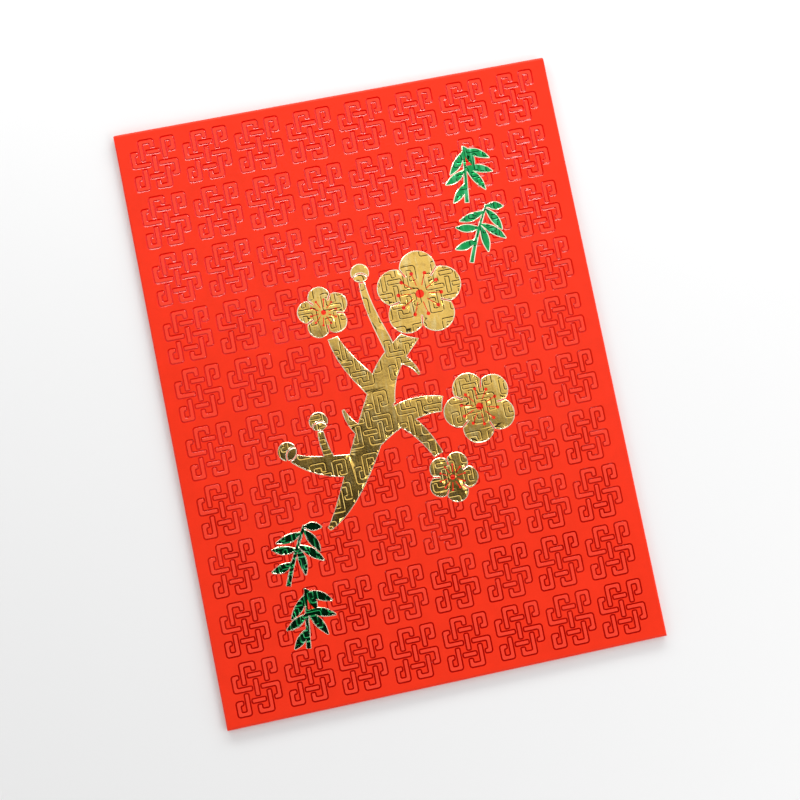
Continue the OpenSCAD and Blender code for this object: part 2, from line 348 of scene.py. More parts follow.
def near(a, b):
    return (Vector(a) - Vector(b)).length < SAME


def cut(point, normal, fill=True):
    """In edit mode, cuts everything along a plane and clears what lies past its normal"""
    select_whole()
    bpy.ops.mesh.bisect(
        plane_co=point, plane_no=normal, use_fill=fill, clear_outer=True, threshold=SAME)


def apply_modifier(kind, **values):
    piece = bpy.context.object
    modifier = piece.modifiers.new(kind.title(), kind)
    for key, value in values.items():
        setattr(modifier, key, value)
    bpy.ops.object.modifier_apply(modifier=modifier.name)


def to_metres(piece, smooth_below):
    """Brings a piece from millimetres to metres about the origin, and shades it"""
    make_active(piece)
    apply_transform(location=True, rotation=True, scale=True)
    piece.scale = (MM, MM, MM)
    apply_transform(scale=True)
    bpy.ops.object.shade_smooth_by_angle(angle=math.radians(smooth_below))
    return piece


def finish_piece(piece, body, material, *nodes):
    piece.data.materials.clear()
    piece.data.materials.append(material)
    if body:
        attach(piece, body)
    if nodes:
        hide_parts(*nodes)


# Pressed face


def lay_bar(path, half):
    """Lays one flat bar along a path of square turns, as a strip of blocks"""
    path = [Vector((x, y, 0)) for x, y in path]
    steps = [b - a for a, b in zip(path, path[1:])]
    ways = [step.normalized() for step in steps]
    for i, (start, step, way) in enumerate(zip(path, steps, ways)):
        last = i == len(steps) - 1
        run = step.length - (0 if i == 0 else half) - (0 if last else half)
        if i == 0:
            bpy.ops.mesh.primitive_plane_add(size=1, location=start + way * run / 2)
            across = Vector((way.y, way.x, 0)) * 2 * half
            bpy.ops.transform.resize(value=[abs(a) or 1 for a in way * run + across])
            edge = start + way * run
        else:
            edge = start + way * half
        pick("EDGE", lambda e: on_rim(e) and near(middle(e), edge))
        if i:
            pull_out(way * run)
        if not last:
            pull_out(way * 2 * half)


def half_turned(path):
    return [(-x, -y) for x, y in path]


def knot_paths(p, stop):
    """Nine bars of the endless knot, each from one crossing that it comes out of to the next"""
    x, y = p.lace_x / MM, p.lace_y / MM
    far_x = (p.knot_w - p.bar_w) / 2 / MM
    far_y = (p.knot_h - p.bar_w) / 2 / MM
    top_loop = [(-x, stop), (-x, far_y), (0, far_y), (0, y + stop)]
    corner_loop = [(x, stop), (x, far_y), (far_x, far_y), (far_x, y), (x + stop, y)]
    side_loop = [(-x - stop, y), (-far_x, y), (-far_x, 0), (-stop, 0)]
    level_bar = [(x - stop, y), (-x + stop, y)]
    upright_bar = [(0, y - stop), (0, -y + stop)]
    paired = [top_loop, corner_loop, side_loop, level_bar]
    return paired + [half_turned(path) for path in paired] + [upright_bar]


def round_corners(spots, radius, segments):
    pick("VERT", lambda v: any(near(v.co, spot) for spot in spots))
    bpy.ops.mesh.bevel(offset=radius, segments=segments, affect="VERTICES")


def knot_cell(p):
    """One cell of the pattern, round the origin: a knot of grooved bars in flat paper"""
    groove_out = p.groove_out / MM
    half = p.bar_w / 2 / MM + groove_out
    paths = knot_paths(p, half + p.under_gap / MM)
    deselect_all()
    bpy.ops.mesh.primitive_plane_add(size=1)
    cell = name_piece("knot_cell")
    set_mode("EDIT")
    bpy.ops.mesh.delete(type="VERT")
    bends, crooks = [], []
    for path in paths:
        lay_bar(path, half)
        for a, b, c in zip(path, path[1:], path[2:]):
            a, b, c = (Vector((*point, 0)) for point in (a, b, c))
            out = ((b - a).normalized() - (c - b).normalized()) * half
            bends.append(b + out)
            crooks.append(b - out)
    weld()
    bpy.ops.mesh.dissolve_limited(angle_limit=math.radians(1))
    round_corners(bends, p.bend_r / MM, BEND_SEGMENTS)
    round_corners(crooks, p.crook_r / MM, CROOK_SEGMENTS)
    ends = [v.co.copy() for v in bmesh.from_edit_mesh(cell.data).verts if sharp(v)]
    round_corners(ends, p.end_r / MM, END_SEGMENTS)
    bpy.ops.mesh.select_mode(type="FACE")
    face_outward()
    face_up()
    bpy.ops.mesh.inset(thickness=groove_out, depth=-p.groove_deep / MM)
    bpy.ops.mesh.inset(thickness=p.groove_in / MM, depth=(p.groove_deep + p.bar_rise) / MM)
    bpy.ops.mesh.primitive_plane_add(size=1)
    bpy.ops.transform.resize(value=(p.pitch_x / MM, p.pitch_y / MM, 1))
    bpy.ops.mesh.delete(type="ONLY_FACE")
    pick("EDGE", lambda e: len(e.link_faces) < 2)
    bpy.ops.mesh.fill(use_beauty=True)
    select_whole()
    face_up()
    set_mode("OBJECT")
    return cell


def sharp(v):
    """True at a square corner"""
    a, b = ((e.other_vert(v).co - v.co).normalized() for e in v.link_edges[:2])
    return abs(a.dot(b)) < SAME


def face_up():
    """In edit mode, turns over each face that looks down"""
    mesh = bpy.context.object.data
    shape = bmesh.from_edit_mesh(mesh)
    shape.normal_update()
    if any(face.normal.z < 0 for face in shape.faces):
        pick("FACE", lambda f: f.normal.z < 0)
        bpy.ops.mesh.flip_normals()
        select_whole()


def pull_out_side(axis, sign, distance, above=None):
    """In edit mode, extrudes the sheet's outermost edges on one side"""
    shape = bmesh.from_edit_mesh(bpy.context.object.data)
    outermost = max(sign * v.co[axis] for v in shape.verts)
    along = 1 - axis

    def outside(e):
        at_side = all(abs(sign * v.co[axis] - outermost) < SAME for v in e.verts)
        return at_side and (above is None or min(v.co[along] for v in e.verts) > above - SAME)

    pick("EDGE", outside)
    way = [0, 0, 0]
    way[axis] = sign * distance
    pull_out(way)


def pressed_sheet(p):
    """Front sheet of the packet, pressed with rows of knots, with a flat back"""
    sheet = make_active(knot_cell(p))
    pitch_x, pitch_y = p.pitch_x / MM, p.pitch_y / MM
    for count, step in ((p.columns, (pitch_x, 0, 0)), (p.rows, (0, pitch_y, 0))):
        apply_modifier(
            "ARRAY", count=count, use_relative_offset=False, use_constant_offset=True,
            constant_offset_displace=step, use_merge_vertices=True, merge_threshold=SAME)
    middle_x = (FACE_LOW.x + FACE_HIGH.x) / 2 + p.shift_x / MM
    sheet.location = (
        middle_x - (p.columns - 1) * pitch_x / 2, -(p.rows - 1) * pitch_y / 2, FACE_HIGH.z)
    apply_transform(location=True)
    set_mode("EDIT")
    half_w, half_h = p.columns * pitch_x / 2, p.rows * pitch_y / 2
    pull_out_side(0, -1, middle_x - half_w - FACE_LOW.x)
    pull_out_side(0, 1, FACE_HIGH.x - middle_x - half_w)
    pull_out_side(1, -1, -half_h - FACE_LOW.y)
    pull_out_side(1, 1, FACE_HIGH.y - half_h)
    # Past the ends of the side folds the paper's cut edges run on to the corners
    for sign, distance, (_, fold_end) in (
        (-1, FACE_LOW.x - PACKET[0].x, LEFT_FOLD), (1, PACKET[1].x - FACE_HIGH.x, RIGHT_FOLD)):
        select_whole()
        bpy.ops.mesh.bisect(plane_co=(0, fold_end.y, 0), plane_no=(0, 1, 0), threshold=SAME)
        pull_out_side(0, sign, distance - EDGE_SHY, above=fold_end.y)
    pick("EDGE", on_rim)
    pull_out((0, 0, -PAPER))
    bpy.ops.mesh.edge_face_add()
    face_outward()
    set_mode("OBJECT")
    return sheet


class PACKET_OT_pressed_face(bpy.types.Operator):
    """Models the front sheet, pressed all over with endless knots"""

    bl_idname = "packet.pressed_face"
    bl_label = "Pressed face"

    def execute(self, context):
        sheet = pressed_sheet(context.scene.packet_pattern)
        sheet.name = sheet.data.name = "pressed_face"
        to_metres(sheet, FACE_SMOOTH)
        finish_piece(sheet, "packet", face_paper(context.scene.packet_paper), "front_panel")
        return {"FINISHED"}


# Folds and creases


def half_ring(name, outer, length):
    """Half tube of paper along Y, round the origin, with its round side towards -X"""
    deselect_all()
    bpy.ops.mesh.primitive_cylinder_add(
        vertices=FOLD_SIDES, radius=outer, depth=length, end_fill_type="NOTHING",
        rotation=(math.radians(90), 0, 0))
    tube = name_piece(name)
    apply_transform(rotation=True)
    set_mode("EDIT")
    cut((0, 0, 0), (1, 0, 0), fill=False)
    face_outward()
    set_mode("OBJECT")
    apply_modifier("SOLIDIFY", thickness=PAPER, offset=-1, use_even_offset=True)
    return tube


def set_down(strip, spot, turn):
    """Turns a strip about Z, by degrees, and moves it to its place"""
    strip.location = spot
    strip.rotation_euler = (0, 0, math.radians(turn))
    apply_transform(location=True, rotation=True)


def fold_strip(name, box, side):
    """Side fold, where side is -1 at the left and 1 at the right"""
    low, high = box
    start = PACKET[0].y
    strip = half_ring(name, (high.z - low.z) / 2, high.y - start)
    inner_x, turn = (high.x, 0) if side < 0 else (low.x, 180)
    set_down(strip, (inner_x, (start + high.y) / 2, (low.z + high.z) / 2), turn)
    return strip


def mitre(strip, corner_x, keep_side):
    """Cuts a strip on the line from the face's corner to the packet's corner"""
    inner = Vector((corner_x, FACE_LOW.y, 0))
    outer = Vector((PACKET[0].x if corner_x < 0 else PACKET[1].x, PACKET[0].y, 0))
    along = (outer - inner).normalized()
    normal = Vector((along.y, -along.x, 0))
    if normal.dot(Vector(keep_side)) > 0:
        normal = -normal
    make_active(strip)
    set_mode("EDIT")
    cut(inner, normal)
    set_mode("OBJECT")


class PACKET_OT_folds(bpy.types.Operator):
    """Models the two side folds and the bottom fold, which meet in mitred corners"""

    bl_idname = "packet.folds"
    bl_label = "Folds"

    def execute(self, context):
        paper = creased_paper(context.scene.packet_paper)
        left = fold_strip("left_fold", LEFT_FOLD, -1)
        right = fold_strip("right_fold", RIGHT_FOLD, 1)
        low, high = BOTTOM_FOLD
        bottom = half_ring("bottom_crease", (high.z - low.z) / 2, PACKET[1].x - PACKET[0].x)
        set_down(bottom, (0, high.y, (low.z + high.z) / 2), 90)
        mitre(left, FACE_LOW.x, (0, 1, 0))
        mitre(right, FACE_HIGH.x, (0, 1, 0))
        mitre(bottom, FACE_LOW.x, (1, 0, 0))
        mitre(bottom, FACE_HIGH.x, (-1, 0, 0))
        for strip, node in (
            (left, "left_side_fold"), (right, "right_side_fold"), (bottom, "bottom_fold")):
            finish_piece(to_metres(strip, FOLD_SMOOTH), "packet", paper, node)
        return {"FINISHED"}


class PACKET_OT_flap_crease(bpy.types.Operator):
    """Models the crease of the flap"""

    bl_idname = "packet.flap_crease"
    bl_label = "Flap crease"

    def execute(self, context):
        low, high = CREASE
        width = PACKET[1].x - PACKET[0].x - 2 * EDGE_SHY
        crease = half_ring("flap_bend", (high.z - low.z) / 2, width)
        set_down(
            crease, ((PACKET[0].x + PACKET[1].x) / 2, low.y, (low.z + high.z) / 2), -90)
        # The ends draw in from the face's cut edges to the root of the flap
        set_mode("EDIT")
        for side, root in ((-1, FLAP[0].x), (1, FLAP[1].x)):
            face_x = side * width / 2
            drop = Vector((root - face_x, 0, -(high.z - low.z)))
            cut((face_x, 0, high.z), Vector((side * -drop.z, 0, side * drop.x)).normalized())
        set_mode("OBJECT")
        to_metres(crease, FOLD_SMOOTH)
        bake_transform(crease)
        finish_piece(crease, None, creased_paper(context.scene.packet_paper), "flap_crease")
        return {"FINISHED"}


# Back of the packet


def dress_node(node, material):
    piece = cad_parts[node]
    piece.data.materials.clear()
    piece.data.materials.append(material)


class PACKET_OT_back(bpy.types.Operator):
    """Gives the back, its flaps and its glue lines their paper and glue"""

    bl_idname = "packet.back"
    bl_label = "Back"

    def execute(self, context):
        looks = context.scene.packet_paper
        for node in ("back_panel", "seam_flap", "bottom_flap", "closing_flap"):
            dress_node(node, back_paper(looks))
        for node in ("seam_glue", "bottom_glue"):
            dress_node(node, dried_glue(looks))
        return {"FINISHED"}


# Foil


def copy_in_millimetres(name, source):
    """A copy of a finished piece, back at the size in which pieces are modelled"""
    piece = make_active(add_object(name, source.data.copy()))
    piece.data.materials.clear()
    piece.scale = [1 / MM] * 3
    apply_transform(scale=True)
    return piece


def foil_sheet(name, low, high, bridging, lift):
    """A patch of the pressed face, shallower than the paper and raised above it"""
    foil = copy_in_millimetres(name, bpy.data.objects["pressed_face"])
    set_mode("EDIT")
    pick("FACE", lambda f: f.normal.z < UPWARD)
    bpy.ops.mesh.delete(type="FACE")
    for axis, corner, sign in ((0, low, -1), (0, high, 1), (1, low, -1), (1, high, 1)):
        normal = [0, 0, 0]
        normal[axis] = sign
        cut(corner + Vector(normal) * OVERRUN, normal, fill=False)
    select_whole()
    bpy.ops.transform.resize(value=(1, 1, bridging), center_override=(0, 0, FACE_HIGH.z))
    bpy.ops.transform.translate(value=(0, 0, lift))
    pick("EDGE", on_rim)
    pull_out((0, 0, -OVERRUN))
    bpy.ops.transform.resize(value=(1, 1, 0), center_override=(0, 0, FACE_HIGH.z - FOIL_ROOT))
    bpy.ops.mesh.edge_face_add()
    face_outward()
    set_mode("OBJECT")
    return foil


def foil_die(name, node):
    """The foil's outline as a cutter, taller than the foil"""
    die = copy_in_millimetres(name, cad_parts[node])
    set_mode("EDIT")
    weld()
    pick("FACE", lambda f: f.normal.z > LEVEL)
    bpy.ops.transform.translate(value=(0, 0, OVERRUN))
    pick("FACE", lambda f: f.normal.z < -LEVEL)
    bpy.ops.transform.translate(value=(0, 0, -OVERRUN))
    set_mode("OBJECT")
    return die


def foil_rim(name, node, rim_w, rise):
    """Raised rim that the stamping die leaves along the foil's outline, as a flattened bead"""
    rim = copy_in_millimetres(name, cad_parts[node])
    set_mode("EDIT")
    weld()
    pick("FACE", lambda f: f.normal.z < LEVEL)
    bpy.ops.mesh.delete(type="FACE")
    outer = outer_edges(bmesh.from_edit_mesh(rim.data))
    pick("EDGE", lambda e: e.index not in outer)
    bpy.ops.mesh.delete(type="EDGE")
    weld(rim_w / 2)
    bpy.ops.transform.resize(value=(1, 1, 0), center_override=(0, 0, FACE_HIGH.z))
    set_mode("OBJECT")
    bpy.ops.object.convert(target="CURVE")
    rim.data.bevel_depth = rim_w / 2
    rim.data.bevel_resolution = 1
    bpy.ops.object.convert(target="MESH")
    set_mode("EDIT")
    select_whole()
    bpy.ops.transform.resize(
        value=(1, 1, rise / (rim_w / 2)), center_override=(0, 0, FACE_HIGH.z))
    set_mode("OBJECT")
    return rim


def outer_edges(shape):
    """Indices of the rim edges that run round areas, without those that run round holes"""
    shape.edges.index_update()
    open_edges = set(filter(on_rim, shape.edges))
    outer = set()
    while open_edges:
        run, tips = [], [open_edges.pop()]
        while tips:
            edge = tips.pop()
            run.append(edge)
            joined = {e for v in edge.verts for e in v.link_edges} & open_edges
            open_edges -= joined
            tips += joined
        corners = [(e.link_loops[0].vert.co, e.link_loops[0].link_loop_next.vert.co) for e in run]
        if sum(a.x * b.y - a.y * b.x for a, b in corners) > 0:
            outer |= {e.index for e in run}
    return outer


def mark_rim(piece, value):
    """Stores how much of a piece is foil rim, where its material paints a highlight"""
    marks = piece.data.attributes.new("rim", "FLOAT", "POINT")
    marks.data.foreach_set("value", [value] * len(piece.data.vertices))


def foil_piece(node, pattern, looks):
    """Cuts a foil shape out of a raised copy of the pressed face, which shows through it"""
    low, high = box_corners(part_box(node))
    rise = high.z - FACE_HIGH.z
    lift = rise - pattern.bar_rise / MM * looks.bridging
    foil = foil_sheet(node + "_foil", low, high, looks.bridging, lift)
    die = foil_die(node + "_die", node)
    make_active(foil)
    apply_modifier("BOOLEAN", operation="INTERSECT", object=die, solver="EXACT")
    bpy.data.objects.remove(die)
    mark_rim(foil, 0)
    rim = foil_rim(node + "_rim", node, looks.rim_w / MM, rise)
    mark_rim(rim, 1)
    make_active(foil)
    rim.select_set(True)
    bpy.ops.object.join()
    to_metres(foil, FOIL_SMOOTH)
    # Lets the flats set the shading, so that it doesn't smear along the long faces of the cut
    apply_modifier("WEIGHTED_NORMAL", mode="FACE_AREA", weight=50, keep_sharp=True)
    return foil


def stamp_foil(scene, leaf, *nodes):
    looks = scene.packet_foil
    for node in nodes:
        finish_piece(foil_piece(node, scene.packet_pattern, looks), "packet", leaf(looks), node)


class PACKET_OT_gold_foil(bpy.types.Operator):
    """Stamps the gold blossom branch onto the pressed face"""

    bl_idname = "packet.gold_foil"
    bl_label = "Gold foil"

    def execute(self, context):
        stamp_foil(context.scene, gold_leaf, "gold_branch", "gold_blossoms")
        return {"FINISHED"}


class PACKET_OT_green_foil(bpy.types.Operator):
    """Stamps the four green leaf sprigs onto the pressed face"""

    bl_idname = "packet.green_foil"
    bl_label = "Green foil"

    def execute(self, context):
        places = ("top_1", "top_2", "low_1", "low_2")
        stamp_foil(context.scene, green_leaf, *("green_sprig_" + place for place in places))
        return {"FINISHED"}


# Materials

# Heights of the bumps, in metres
FACE_TOOTH = 0.000008
BACK_TOOTH = 0.0000055
GLUE_TOOTH = 0.000012
FOIL_TOOTH = 0.000008
FOIL_WAVES = 0.0003
# Brightness that the mottling of the paper takes its colour down to
MOTTLED = 0.72
# Specular level of uncoated and lightly coated paper
PAPER_SPECULAR = 0.1
# Coat of the face: on its flats, and what the light lines and the shaded lines add to it
FLAT_COAT, LIGHT_COAT, HARD_COAT = 0.15, 0.85, -0.15
# How steeply the coat builds up in the light lines
POLISH_POWER = 3.0
# Roughness of the shaded lines, which take the darkest painted shade
HARD_ROUGHNESS = 0.9
# Share of the paper's thickness over which a cut edge shows its core
EDGE_SHARE = 0.8
# Share of the worn colour painted as shade where the pattern's lines press through the foil
LINE_SHADE = 0.25


def add_node(tree, kind, inputs=(), **values):
    """Adds a node, sets its values and fills its sockets"""
    node = tree.nodes.new(kind)
    for key, value in values.items():
        setattr(node, key, value)
    fill(tree, node, inputs)
    return node


def fill(tree, node, inputs):
    """Fills a node's sockets with numbers or with other nodes' outputs"""
    for socket, value in dict(inputs).items():
        if isinstance(value, bpy.types.NodeSocket):
            tree.links.new(value, node.inputs[socket])
        else:
            node.inputs[socket].default_value = value


def calculate(tree, operation, *terms):
    return add_node(tree, "ShaderNodeMath", enumerate(terms), operation=operation).outputs[0]


def sum_up(tree, a, b, share):
    """a + b * share"""
    return calculate(tree, "MULTIPLY_ADD", b, share, a)


def ramp(tree, value, start, end, low=0.0, high=1.0, kind="LINEAR"):
    """Runs from low to high while the value runs from start to end, and stays there"""
    return add_node(
        tree, "ShaderNodeMapRange",
        {"Value": value, "From Min": start, "From Max": end, "To Min": low, "To Max": high},
        interpolation_type=kind).outputs[0]


def mix_numbers(tree, share, a, b):
    return add_node(tree, "ShaderNodeMix", {"Factor": share, "A": a, "B": b}).outputs["Result"]


def mix_colours(tree, share, a, b):
    return add_node(
        tree, "ShaderNodeMix", {"Factor": share, 6: a, 7: b}, data_type="RGBA").outputs[2]


def object_place(tree):
    return add_node(tree, "ShaderNodeTexCoord").outputs["Object"]


def object_xyz(tree):
    return add_node(tree, "ShaderNodeSeparateXYZ", {"Vector": object_place(tree)}).outputs


def object_noise(tree, scale, detail=2.0, stretch=(1, 1, 1), turn=0.0):
    """Noise on Object coordinates, in features per metre, stretched and turned about Z"""
    turned = {"Scale": stretch, "Rotation": (0, 0, math.radians(turn))}
    mapped = add_node(tree, "ShaderNodeMapping", {"Vector": object_place(tree), **turned})
    return add_node(
        tree, "ShaderNodeTexNoise",
        {"Vector": mapped.outputs["Vector"], "Scale": scale, "Detail": detail}).outputs["Fac"]


def new_group(name, inputs, outputs):
    """A node group with named sockets, what it is given, and its output node"""
    group = bpy.data.node_groups.new(name, "ShaderNodeTree")
    for socket, (kind, value) in inputs.items():
        made = group.interface.new_socket(socket, in_out="INPUT", socket_type="NodeSocket" + kind)
        made.default_value = value
    for socket, kind in outputs.items():
        group.interface.new_socket(socket, in_out="OUTPUT", socket_type="NodeSocket" + kind)
    return group, group.nodes.new("NodeGroupInput").outputs, group.nodes.new("NodeGroupOutput")


def place_group(tree, build, **inputs):
    """Places a group with a material's own values, and builds it if it is the first"""
    group = bpy.data.node_groups.get(build.__name__) or build(build.__name__)
    node = tree.nodes.new("ShaderNodeGroup")
    node.node_tree = group
    fill(tree, node, {
        socket.replace("_", " ").capitalize(): value for socket, value in inputs.items()})
    return node.outputs


def paper_grain(name):
    """Grain of pressed paper: a fine tooth, short fibres and a slow mottling"""
    group, given, put = new_group(
        name,
        {
            "Colour": ("Color", (0.8, 0.8, 0.8, 1)), "Mottling": ("Float", 0.1),
            "Smoothest": ("Float", 0.3), "Roughest": ("Float", 0.5),
        },
        {"Colour": "Color", "Roughness": "Float", "Height": "Float"})
    tooth = object_noise(group, 3300, detail=4)
    fibres = object_noise(group, 1700, stretch=(0.35, 1, 1), turn=35)
    cloud = object_noise(group, 320, detail=3)
    share = ramp(group, sum_up(group, cloud, tooth, 0.5), 0.5, 1.0)
    darker = add_node(
        group, "ShaderNodeHueSaturation", {"Color": given["Colour"], "Value": MOTTLED})
    amount = calculate(group, "MULTIPLY", share, given["Mottling"])
    fill(group, put, {
        "Colour": mix_colours(group, amount, given["Colour"], darker.outputs["Color"]),
        "Roughness": mix_numbers(group, share, given["Smoothest"], given["Roughest"]),
        "Height": sum_up(group, tooth, fibres, 0.6),
    })
    return group


def pressed_line(name):
    """Masks of what a die leaves: its lines, the shaded and the light ones, and what it raises

    Towards the lower edge more of the lines are shaded, with the darkest painted shade."""
    group, given, put = new_group(
        name,
        {
            "Level": ("Float", 0.00125), "Depth": ("Float", 0.00008),
            "Rise": ("Float", 0.00002), "Height": ("Float", 0.1),
        },
        {"Mask": "Float", "Shaded": "Float", "Light": "Float", "Raised": "Float"})
    place = object_xyz(group)
    below = calculate(group, "SUBTRACT", given["Level"], place["Z"])
    depths = calculate(group, "DIVIDE", below, given["Depth"])
    rises = calculate(group, "DIVIDE", below, given["Rise"])
    # The mask fades in at the groove's lip, and out again down the sheet's cut edge
    sinking = ramp(group, depths, 0.0, 0.2)
    ending = ramp(group, depths, 1.4, 2.2, 1.0, 0.0)
    mask = calculate(group, "MULTIPLY", sinking, ending)
    # The lines lower on the face fall in the shaded mask, which takes the darkest painted shade
    up_face = calculate(group, "DIVIDE", place["Y"], given["Height"])
    uneven = sum_up(group, up_face, object_noise(group, 130, detail=1), 0.5)
    light = calculate(group, "MULTIPLY", mask, ramp(group, uneven, -0.15, 0.55))
    fill(group, put, {
        "Mask": mask, "Shaded": calculate(group, "SUBTRACT", mask, light), "Light": light,
        "Raised": ramp(group, rises, -0.2, -0.8),
    })
    return group


def foil_skin(name):
    """Skin of stamped foil: drawn lines, dimples, painted highlight streaks and slow waves"""
    group, given, put = new_group(
        name,
        {
            "Colour": ("Color", (0.8, 0.8, 0.8, 1)), "Worn": ("Color", (0.5, 0.5, 0.5, 1)),
            "Thin": ("Color", (1, 1, 1, 1)), "Wear": ("Float", 0.2), "Streaks": ("Float", 0.2),
            "Smoothest": ("Float", 0.15), "Roughest": ("Float", 0.35),
        },
        {"Colour": "Color", "Roughness": "Float", "Height": "Float", "Waves": "Float"})
    drawn = object_noise(group, 3600, stretch=(1, 0.12, 1), turn=4)
    dimples = object_noise(group, 2100, detail=2)
    worn = ramp(group, object_noise(group, 900, detail=4), 0.55, 0.75)
    # Streaks of painted highlight
    thin = ramp(
        group, object_noise(group, 1300, detail=3, stretch=(1, 0.25, 1), turn=14), 0.52, 0.72)
    colour = given["Colour"]
    for mask, amount, paint in ((worn, "Wear", "Worn"), (thin, "Streaks", "Thin")):
        share = calculate(group, "MULTIPLY", mask, given[amount])
        colour = mix_colours(group, share, colour, given[paint])
    fill(group, put, {
        "Colour": colour,
        "Roughness": mix_numbers(group, drawn, given["Smoothest"], given["Roughest"]),
        "Height": sum_up(group, dimples, drawn, 1.0),
        "Waves": object_noise(group, 85, detail=2, turn=20),
    })
    return group


def new_material(name, slot):
    """The material of that name, and its node tree if it has still to be filled in"""
    material = bpy.data.materials.get(name)
    if material:
        return material, None
    material = bpy.data.materials.new(name)
    material.use_nodes = True
    material["slot"] = slot
    return material, material.node_tree


def bumped(tree, height, distance, over=None):
    """A bump of that height in metres, laid over another one"""
    inputs = {"Height": height, "Distance": distance, "Strength": 1.0}
    if over:
        inputs["Normal"] = over
    return add_node(tree, "ShaderNodeBump", inputs).outputs["Normal"]


def face_paper(looks):
    """Coated side: a satin red with a fine tooth, painted shade in its lines and sheen on its
    cords
    """
    material, tree = new_material("coated_paper", "red_paper_face")
    if tree:
        grain = place_group(
            tree, paper_grain, colour=(*looks.face, 1), mottling=0.28, smoothest=0.34,
            roughest=0.50)
        line = place_group(
            tree, pressed_line, level=FACE_HIGH.z * MM, depth=looks.line_depth,
            rise=bpy.context.scene.packet_pattern.bar_rise,
            height=(PACKET[1].y - PACKET[0].y) * MM)
        colour = grain["Colour"]
        # Painted sheen on the raised cords, then painted shade in the light lines and, darkest,
        # in the shaded lines
        for mask, share, paint in (
            ("Raised", 1.0, looks.cord), ("Light", 0.95, looks.light_line_shade),
            ("Shaded", 0.94, looks.line),
        ):
            amount = calculate(tree, "MULTIPLY", line[mask], share)
            colour = mix_colours(tree, amount, colour, (*paint, 1))
        polish = calculate(tree, "POWER", line["Light"], POLISH_POWER)
        coat = sum_up(
            tree, sum_up(tree, FLAT_COAT, polish, LIGHT_COAT), line["Shaded"], HARD_COAT)
        fill(tree, tree.nodes["Principled BSDF"], {
            "Base Color": colour,
            "Roughness": mix_numbers(tree, line["Shaded"], grain["Roughness"], HARD_ROUGHNESS),
            "Normal": bumped(tree, grain["Height"], FACE_TOOTH),
            "Specular IOR Level": 0.0,
            "Coat Weight": coat, "Coat Roughness": 0.12,
        })
    return material


def creased_paper(looks):
    """Coated side round a fold: finely cracked where the paper bends most"""
    material, tree = new_material("creased_paper", "red_paper_face")
    if tree:
        grain = place_group(
            tree, paper_grain, colour=(*looks.face, 1), mottling=0.2, smoothest=0.32,
            roughest=0.46)
        # The cracks fade out towards the face, which the folds run into
        up = calculate(tree, "DIVIDE", object_xyz(tree)["Z"], FACE_HIGH.z * MM)
        bend = ramp(tree, calculate(tree, "PINGPONG", up, 1.0), 0.9, 0.5)
        cracks = ramp(tree, object_noise(tree, 2600, detail=3, stretch=(1, 1, 0.2)), 0.55, 0.68)
        amount = calculate(tree, "MULTIPLY", cracks, bend)
        fill(tree, tree.nodes["Principled BSDF"], {
            "Base Color": mix_colours(tree, amount, grain["Colour"], (*looks.core, 1)),
            "Roughness": grain["Roughness"],
            "Normal": bumped(tree, grain["Height"], BACK_TOOTH),
            "Specular IOR Level": PAPER_SPECULAR,
        })
    return material


def back_paper(looks):
    """Sheets behind the face: coated outside, bare inside, and paler at their cut edges

    The sheets lie a paper's and a glue line's thickness apart, each with its outside below."""
    material, tree = new_material("folded_paper", "red_paper_back")
    if tree:
        coated = place_group(
            tree, paper_grain, colour=(*looks.face, 1), mottling=0.2, smoothest=0.38,
            roughest=0.48)
        bare = place_group(
            tree, paper_grain, colour=(*looks.back, 1), mottling=0.45, smoothest=0.66,
            roughest=0.85)
        layer = (PAPER + GLUE) * MM
        raised = calculate(tree, "ADD", object_xyz(tree)["Z"], GLUE * MM / 2)
        in_layer = calculate(tree, "FLOORED_MODULO", raised, layer)
        inside = calculate(tree, "GREATER_THAN", in_layer, layer / 2)
        at_edge = calculate(tree, "COMPARE", in_layer, layer / 2, PAPER * MM * EDGE_SHARE / 2)
        side = mix_colours(tree, inside, coated["Colour"], bare["Colour"])
        fibres = calculate(tree, "MULTIPLY", bare["Height"], inside)
        relief = sum_up(tree, coated["Height"], fibres, 1.6)
        fill(tree, tree.nodes["Principled BSDF"], {
            "Base Color": mix_colours(tree, at_edge, side, (*looks.core, 1)),
            "Roughness": mix_numbers(tree, inside, coated["Roughness"], bare["Roughness"]),
            "Normal": bumped(tree, relief, BACK_TOOTH),
            "Specular IOR Level": PAPER_SPECULAR,
        })
    return material


def dried_glue(looks):
    """Cream glue line, a fine film, uneven where it was rolled on"""
    material, tree = new_material("glue_line", "dried_glue")
    if tree:
        grain = place_group(
            tree, paper_grain, colour=(*looks.glue, 1), mottling=0.5, smoothest=0.25,
            roughest=0.6)
        fill(tree, tree.nodes["Principled BSDF"], {
            "Base Color": grain["Colour"], "Roughness": grain["Roughness"],
            "Normal": bumped(tree, grain["Height"], GLUE_TOOTH),
            "Coat Weight": 0.2, "Coat Roughness": 0.3,
        })
    return material


